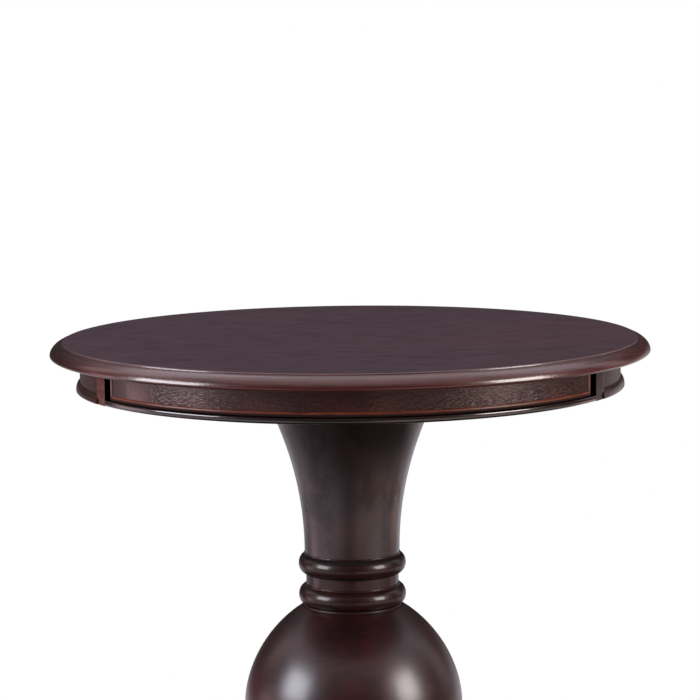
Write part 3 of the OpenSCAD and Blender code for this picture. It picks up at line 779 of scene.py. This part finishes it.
def plyPaint(graph, place):
    # face veneer above and below, layers of turned grain in the edge
    base = low("drawer_bottom").z
    depth = (graph.axes(place)[2] - base) * (ply["layers"] / (high("drawer_bottom").z - base))
    layer = graph.add("ShaderNodeMath", {"operation": "FRACT"}, {0: depth * 0.5})
    crossed = graph.band(layer, 0.46, 0.54)
    fibre = graph.noise(place, (1, 15, 15), ply["fibreScale"], 3, 0.6)
    cross = graph.noise(place, (15, 1, 15), ply["fibreScale"], 3, 0.6)
    grain = fibre * (1 - crossed) + cross * crossed
    colour = graph.mix(graph.band(grain, 0.3, 0.7), ply["deep"], ply["pale"])
    colour = graph.mix(crossed * 0.35, colour, ply["edge"])
    return graph.add("ShaderNodeBsdfPrincipled", {}, {
        "Base Color": colour, "Roughness": ply["roughness"] + grain * 0.15,
        "Normal": graph.bump(grain, ply["relief"])})


drawerPly = material("drawerPly", plyPaint)
stainedPly = stainedWood("stainedPly", tone(18, 9, 9), tone(36, 20, 18), tone(42, 22, 19), 0.5)


# Zinc-plated steel and black nylon
def zincPaint(graph, place):
    fine = graph.noise(place, even, 900, 3, 0.6)
    dull = graph.noise(place, even, 180, 3, 0.6)
    colour = graph.mix(graph.band(dull, 0.35, 0.7), tone(150, 151, 154), tone(204, 203, 198))
    return graph.add("ShaderNodeBsdfPrincipled", {}, {
        "Base Color": colour, "Metallic": 1.0, "Roughness": 0.26 + dull * 0.25,
        "Normal": graph.bump(fine, 0.00002)})


def nylonPaint(graph, place):
    grain = graph.noise(place, even, 1400, 2, 0.6)
    scuff = graph.noise(place, (1, 5, 1), 120, 4, 0.7)
    colour = graph.mix(graph.band(scuff, 0.5, 0.75) * 0.6, tone(30, 30, 32), tone(70, 69, 67))
    return graph.add("ShaderNodeBsdfPrincipled", {}, {
        "Base Color": colour, "Roughness": 0.45 + scuff * 0.25, "Normal": graph.bump(grain, 0.00003)})


zinc = material("zincSteel", zincPaint)
nylon = material("nylonGlide", nylonPaint)
note("finishes made")

# Fixings: one tree makes a wood screw and sets it at every point, another sets copies of a turned piece
screw = {"headR": 0.0045, "headH": 0.0027, "headSides": 40, "coreR": 0.0017, "coreSides": 16,
         "threadR": 0.0005, "threadSides": 3, "pitch": 0.0019, "turnSteps": 14, "tipH": 0.004,
         "tipR": 0.0002, "slotL": 0.0052, "slotW": 0.0011, "slotH": 0.0030}


def setOnPoints(graph, given, part):
    endTree(graph, given, graph.add("GeometryNodeInstanceOnPoints", {}, {
        "Points": given.out("Geometry"), "Instance": part}))


def screwTree():
    tree, graph, given = pointTree("driveScrews", [("Length", "Float")])
    shank = given.out("Length") - screw["headH"] - screw["tipH"]

    def raised(part, height):
        return graph.add("GeometryNodeTransform", {}, {
            "Geometry": part, "Translation": graph.join(0, 0, height)})

    head = graph.add("GeometryNodeMeshCone", {}, {
        "Vertices": screw["headSides"], "Radius Top": screw["coreR"], "Radius Bottom": screw["headR"],
        "Depth": screw["headH"]})
    bars = [graph.add("GeometryNodeMeshCube", {}, {"Size": size}) for size in (
        (screw["slotL"], screw["slotW"], screw["slotH"]), (screw["slotW"], screw["slotL"], screw["slotH"]))]
    cut = graph.add("GeometryNodeMeshBoolean", {"operation": "DIFFERENCE"}, {"Mesh 1": head, "Mesh 2": bars})
    core = graph.add("GeometryNodeMeshCylinder", {}, {
        "Vertices": screw["coreSides"], "Radius": screw["coreR"], "Depth": shank})
    tip = graph.add("GeometryNodeMeshCone", {}, {
        "Vertices": screw["coreSides"], "Radius Top": screw["tipR"], "Radius Bottom": screw["coreR"],
        "Depth": screw["tipH"]})
    coil = graph.add("GeometryNodeCurveSpiral", {}, {
        "Resolution": screw["turnSteps"], "Rotations": shank / screw["pitch"],
        "Start Radius": screw["coreR"], "End Radius": screw["coreR"], "Height": shank})
    thread = graph.add("GeometryNodeCurvePrimitiveCircle", {}, {
        "Resolution": screw["threadSides"], "Radius": screw["threadR"]})
    ridge = graph.add("GeometryNodeCurveToMesh", {}, {
        "Curve": coil, "Fill Caps": True, "Profile Curve": thread})
    parts = [cut, raised(core, shank / 2 + screw["headH"]), raised(ridge, screw["headH"]),
             raised(tip, shank + screw["headH"])]
    setOnPoints(graph, given, graph.add("GeometryNodeJoinGeometry", {}, {"Geometry": parts}))
    return tree


def copyTree():
    tree, graph, given = pointTree("setCopies", [("Part", "Object")])
    part = graph.add("GeometryNodeObjectInfo", {}, {"Object": given.out("Part")})
    setOnPoints(graph, given, part.out("Geometry"))
    return tree


def setCopies(name, places, tree, values):
    points = bpy.data.meshes.new(name + "Places")
    points.from_pydata(places, [], [])
    return nodeResult(name, points, tree, values)


driveScrews = screwTree()
for name, node in (("caseScrews", "case_screws"), ("guideScrews", "guide_screws"),
                   ("buttonScrew", "button_screw"), ("plateScrews", "plate_screws"),
                   ("bellScrews", "bell_screws"), ("glideScrews", "glide_screws")):
    screws = setCopies(name, placesOf(node), driveScrews, {
        "Length": high(node).z - low(node).z, "Finish": zinc})
    settle(screws, "table", "steel", node)

glide = {"ease": 0.0016, "footSteps": 6, "headSteps": 4, "dish": 0.0006, "dishR": 0.0085,
         "dishSlope": 0.0008, "holeR": 0.0047, "coreR": 0.0024, "segments": 72}


def glides():
    thick = high("glide_1").z
    radius = (high("glide_1").x - low("glide_1").x) / 2
    ease, headZ = glide["ease"], low("glide_screws").z
    outline = [(glide["holeR"], glide["dish"]), (glide["dishR"], glide["dish"]),
               (glide["dishR"] + glide["dishSlope"], 0)]
    outline += easedFoot(radius, 0, ease, glide["footSteps"])
    outline += easedHead(radius, thick, ease / 2, glide["headSteps"])
    outline += [(glide["coreR"], thick), (glide["coreR"], headZ + screw["headH"]), (glide["holeR"], headZ)]
    part = turned("glidePattern", outline, nylon, glide["segments"])
    names = ("glide_1", "glide_2", "glide_3", "glide_4")
    middles = [(low(name) + high(name)) / 2 for name in names]
    piece = setCopies("glides", [(m.x, m.y, 0) for m in middles], copyTree(), {"Part": part, "Finish": nylon})
    bpy.data.objects.remove(part)
    settle(piece, "table", "glide_plastic", *names)


glides()
note("screws and glides set")

# CAD pieces whose shape is right take their finish here, and the fixings that aren't listed are zinc
finishes = {
    "apron_shell": shellLacquer, "drawer_front": frontLacquer, "mounting_plate": espresso,
    "cock_bead_bottom": beadLacquer, "cock_bead_left": redLacquer, "cock_bead_right": redLacquer,
    "case_bottom": stainedPly, "drawer_bottom": drawerPly,
    "drawer_side_left": poplarAlong, "drawer_side_right": poplarAlong, "drawer_back": poplarAcross,
    "guide_left": poplarAlong, "guide_right": poplarAlong, "stop_button": poplarAcross,
    "stop_left": poplarAcross, "stop_right": poplarAcross}
for name, node in nodes.items():
    finish = finishes.get(name)
    if name.startswith("glue_block"):
        finish = poplarUpright
    elif name.startswith("glide_") and name != "glide_screws":
        finish = nylon
    node.data.materials.clear()
    node.data.materials.append(finish or zinc)
note("frame finished")

# Camera, fitted to the photo
view = {"distance": 2.7508, "height": 0.3266, "pitch": 7.0646, "roll": -0.6073, "lens": 139.66,
        "sensor": 36}
camera = bpy.data.objects.new("camera", bpy.data.cameras.new("camera"))
camera.data.lens = view["lens"]
camera.data.sensor_width = view["sensor"]
camera.matrix_world = (Matrix.Translation((0, -view["distance"], topZ + view["height"]))
                       @ Matrix.Rotation(radians(90 - view["pitch"]), 4, "X")
                       @ Matrix.Rotation(radians(view["roll"]), 4, "Z"))
scene.collection.objects.link(camera)
scene.camera = camera

# Pale floor: it keeps the shadow near the table and turns white further out
floorLook = {"radius": 1.7, "sides": 96, "gap": 0.0003, "nearWhite": 0.5, "farWhite": 0.92, "eye": 0.5,
             "speckScale": 60, "deep": tone(228, 228, 228), "pale": tone(236, 236, 236)}
disc = bmesh.new()
bmesh.ops.create_circle(disc, cap_ends=True, segments=floorLook["sides"], radius=floorLook["radius"])
floorMesh = bpy.data.meshes.new("floor")
bmesh.ops.translate(disc, verts=disc.verts, vec=(0, 0, -floorLook["gap"]))
disc.to_mesh(floorMesh)
disc.free()
floorPiece = bpy.data.objects.new("floor", floorMesh)
scene.collection.objects.link(floorPiece)

# Two soft panels beside the camera, with their light in watts per square metre
panelAim = Vector((0, 0, 0.45))
panels = {
    "leftPanel": {"place": (-1.76, -0.74, 0.98), "wide": 0.98, "tall": 0.85, "level": 40.0,
                  "colour": (0.92, 0.97, 1.06)},
    "rightPanel": {"place": (1.68, -0.90, 0.98), "wide": 0.76, "tall": 0.85, "level": 46.0,
                   "colour": (1.0, 0.99, 0.97)}}
for name, panel in panels.items():
    lamp = bpy.data.lights.new(name, "AREA")
    lamp.shape = "RECTANGLE"
    lamp.size, lamp.size_y = panel["wide"], panel["tall"]
    lamp.energy = panel["level"] * panel["wide"] * panel["tall"]
    lamp.color = panel["colour"]
    lampPiece = bpy.data.objects.new(name, lamp)
    turn = (panelAim - Vector(panel["place"])).to_track_quat("-Z", "Y").to_matrix().to_4x4()
    lampPiece.matrix_world = Matrix.Translation(panel["place"]) @ turn
    lampPiece.visible_camera = False
    scene.collection.objects.link(lampPiece)

# Fainter light from the room by direction, in degrees. Each patch has its azimuth from the drawer's
# side and its half width, the heights where it starts, is full and ends, and its colour.
patches = [
    (0, None, 14, 80, None, (1.15, 1.10, 1.16)),
    (180, 80, 42, 62, None, (0.3, 0.3, 0.34)),
    (-130, 34, 37, 42, 62, (0.95, 0.93, 1.1)),
    (122, 28, 37, 42, 62, (0.75, 0.77, 0.95)),
    (-98, 20, 22, 32, 48, (0.4, 0.4, 0.45)),
    (98, 20, 22, 32, 48, (0.35, 0.35, 0.4)),
    (-121, 4, 2, 26, 38, (0.8, 0.65, 0.65)),
    (121, 4, -8, 8, 38, (0.6, 0.55, 0.57)),
    (0, None, -36, -26, -13, (0.40, 0.36, 0.38)),
    (-52, 30, -40, -28, -8, (0.50, 0.44, 0.51)),
    (-98, 14, -33, -24, -8, (0.42, 0.37, 0.41)),
    (40, 30, -38, -26, -8, (0.70, 0.54, 0.46)),
    (82, 14, -30, -21, -8, (0.46, 0.38, 0.35)),
    (-103, 7, -18, -10, 4, (1.8, 1.25, 1.37)),
    (116, 6, -26, -18, -11, (1.0, 0.6, 0.46)),
    (146, 12, -22, -12, 2, (0.40, 0.37, 0.385)),
    (180, 40, -34, -24, -6, (0.24, 0.24, 0.28))]
room = {"level": 0.035, "sideEdge": 8, "topEdge": 5}


def studioLight(graph, x, y, z):
    # light that comes from the direction (x, y, z)
    flat = (x * x + y * y + 0.000001) ** 0.5
    height = z.sum("ARCTAN2", z, flat)
    glow = graph.join(room["level"], room["level"], room["level"])
    for azimuth, half, start, full, end, colour in patches:
        share = graph.band(height, radians(start), radians(full))
        if end is not None:
            edge = room["topEdge"]
            share = share * graph.band(height, radians(end - edge), radians(end + edge), 1.0, 0.0)
        if half is not None:
            side, edge = radians(azimuth), room["sideEdge"]
            facing = (x * sin(side) - y * cos(side)) / flat
            share = share * graph.band(facing, cos(radians(half + edge)), cos(radians(half - edge)))
        glow = graph.add("ShaderNodeVectorMath", {"operation": "MULTIPLY_ADD"}, {
            0: graph.join(share, share, share), 1: colour, 2: glow})
    return glow


def floorPaint(graph, place):
    x, y, z = graph.axes(place)
    far = graph.band(fromAxis(x, y), floorLook["nearWhite"], floorLook["farWhite"])
    ray = graph.add("ShaderNodeLightPath")
    speck = graph.noise(place, even, floorLook["speckScale"], 3, 0.6)
    lit = graph.add("ShaderNodeBsdfDiffuse", {}, {
        "Color": graph.mix(speck, floorLook["deep"], floorLook["pale"])})
    white = graph.add("ShaderNodeEmission", {}, {"Color": (1, 1, 1, 1), "Strength": 1.0})
    seen = graph.add("ShaderNodeMixShader", {}, {0: far, 1: lit, 2: white})
    # to all rays but the camera's the floor glows with the room's light, painted light that stands in for the
    # light a lit floor throws back
    mirrored = graph.add("ShaderNodeEmission", {}, {
        "Color": studioLight(graph, x, y, z - floorLook["eye"]), "Strength": 1.0})
    return graph.add("ShaderNodeMixShader", {}, {0: ray.out("Is Camera Ray"), 1: mirrored, 2: seen})


floorMesh.materials.append(material("paleFloor", floorPaint))

world = bpy.data.worlds.new("studio")
scene.world = world
world.use_nodes = True
world.node_tree.nodes.clear()
sky = Graph(world.node_tree)
ray = sky.add("ShaderNodeLightPath")
seen = ray.sum("MAXIMUM", ray.out("Is Camera Ray"), ray.out("Is Transmission Ray"))
light = studioLight(sky, *sky.axes(sky.add("ShaderNodeTexCoord")))
sky.add("ShaderNodeOutputWorld", {}, {"Surface": sky.add("ShaderNodeBackground", {}, {
    "Color": sky.mix(seen, light, (1, 1, 1, 1)), "Strength": 1.0})})
scene.view_settings.view_transform = "Standard"
note("studio lit")
